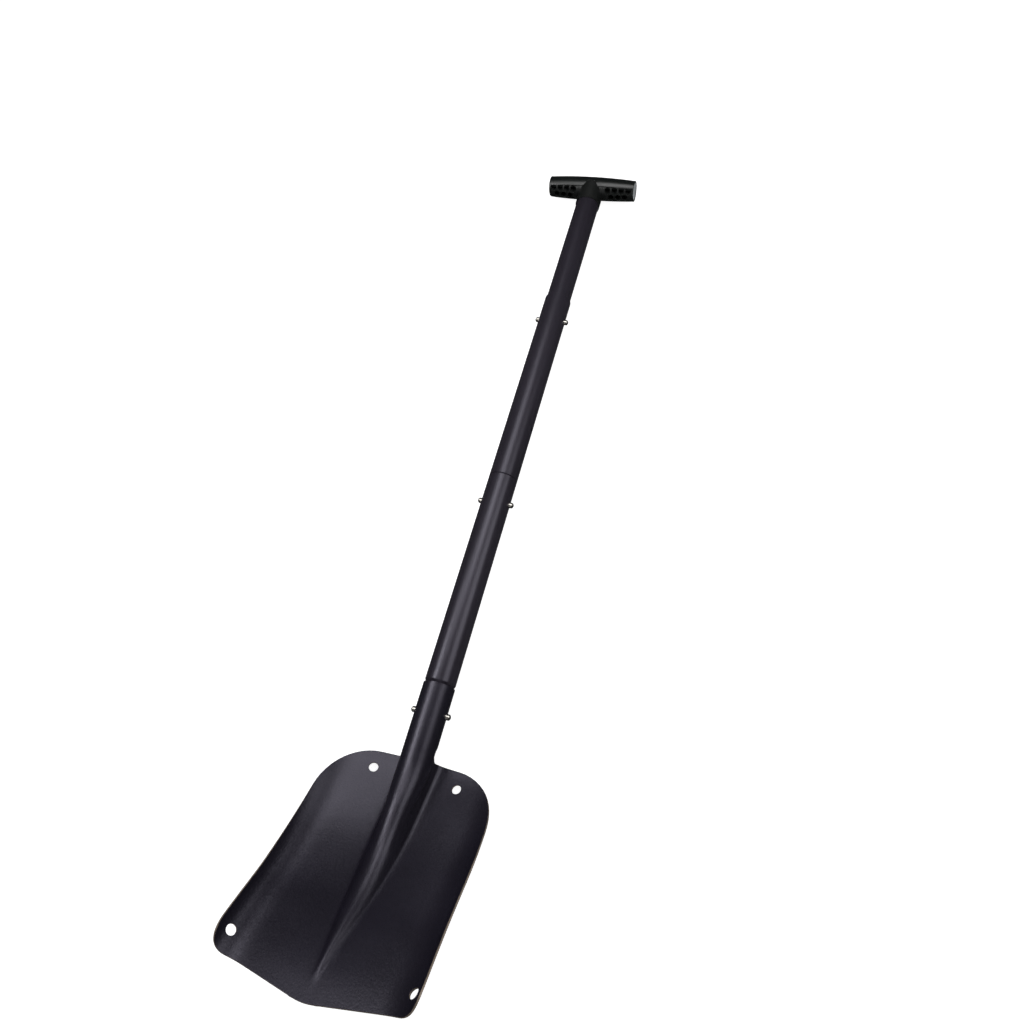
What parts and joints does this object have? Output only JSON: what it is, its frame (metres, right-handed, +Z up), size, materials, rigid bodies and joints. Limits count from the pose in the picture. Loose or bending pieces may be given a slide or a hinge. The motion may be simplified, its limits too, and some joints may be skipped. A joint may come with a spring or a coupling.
{
  "type": "avalanche shovel",
  "caption": "Sectional avalanche shovel: pressed black blade with a rolled socket, tube shaft locked by spring buttons, and a short T-grip.",
  "frame": {"origin": "middle of the bounding box's bottom face", "axes": "+Y along the shaft from the blade to the grip, +Z up out of the scoop, X across the blade"},
  "size_m": [0.1762, 0.9532, 0.1148],
  "materials": {
    "blade": "satin black coating with a fine grain",
    "tube": "satin black anodised",
    "steel": "bright nickel",
    "spring": "spring steel",
    "grip": "moulded black plastic",
    "cover": "smooth satin black plastic",
    "cap": "light grey plastic"
  },
  "bodies": {
    "blade_body": {"blade": "blade"},
    "lower_section": {"lower_tube": "tube", "clip_spring_1": "spring"},
    "middle_section": {"middle_tube": "tube", "clip_spring_2": "spring"},
    "upper_section": {"upper_tube": "tube", "clip_spring_3": "spring", "grip_core": "grip", "grip_cover": "cover", "grip_end_cap_left": "cap", "grip_end_cap_right": "cap"},
    "button_left_1": {"clip_button_left_1": "steel"},
    "button_right_1": {"clip_button_right_1": "steel"},
    "button_left_2": {"clip_button_left_2": "steel"},
    "button_right_2": {"clip_button_right_2": "steel"},
    "button_left_3": {"clip_button_left_3": "steel"},
    "button_right_3": {"clip_button_right_3": "steel"}
  },
  "joints": [
    {"name": "lower_section_slide", "type": "slide", "parent": "blade_body", "child": "lower_section", "axis": [0, 1, 0], "range_m": [0, 0.24]},
    {"name": "middle_section_slide", "type": "slide", "parent": "lower_section", "child": "middle_section", "axis": [0, 1, 0], "range_m": [0, 0.24]},
    {"name": "upper_section_slide", "type": "slide", "parent": "middle_section", "child": "upper_section", "axis": [0, 1, 0], "range_m": [-0.152, 0], "deforming": ["clip_button_left_3", "clip_button_right_3"]},
    {"name": "button_press_left_1", "type": "slide", "parent": "lower_section", "child": "button_left_1", "axis": [1, 0, 0], "range_m": [0, 0.00678], "stiffness_N_per_m": 1500, "springref_m": -0.002, "deforming": ["clip_spring_1"]},
    {"name": "button_press_right_1", "type": "slide", "parent": "lower_section", "child": "button_right_1", "axis": [-1, 0, 0], "range_m": [0, 0.00678], "stiffness_N_per_m": 1500, "springref_m": -0.002, "deforming": ["clip_spring_1"]},
    {"name": "button_press_left_2", "type": "slide", "parent": "middle_section", "child": "button_left_2", "axis": [1, 0, 0], "range_m": [0, 0.00628], "stiffness_N_per_m": 1500, "springref_m": -0.002, "deforming": ["clip_spring_2"]},
    {"name": "button_press_right_2", "type": "slide", "parent": "middle_section", "child": "button_right_2", "axis": [-1, 0, 0], "range_m": [0, 0.00628], "stiffness_N_per_m": 1500, "springref_m": -0.002, "deforming": ["clip_spring_2"]},
    {"name": "button_press_left_3", "type": "slide", "parent": "upper_section", "child": "button_left_3", "axis": [1, 0, 0], "range_m": [0, 0.00628], "stiffness_N_per_m": 1500, "springref_m": -0.002, "deforming": ["clip_spring_3"]},
    {"name": "button_press_right_3", "type": "slide", "parent": "upper_section", "child": "button_right_3", "axis": [-1, 0, 0], "range_m": [0, 0.00628], "stiffness_N_per_m": 1500, "springref_m": -0.002, "deforming": ["clip_spring_3"]}
  ]
}
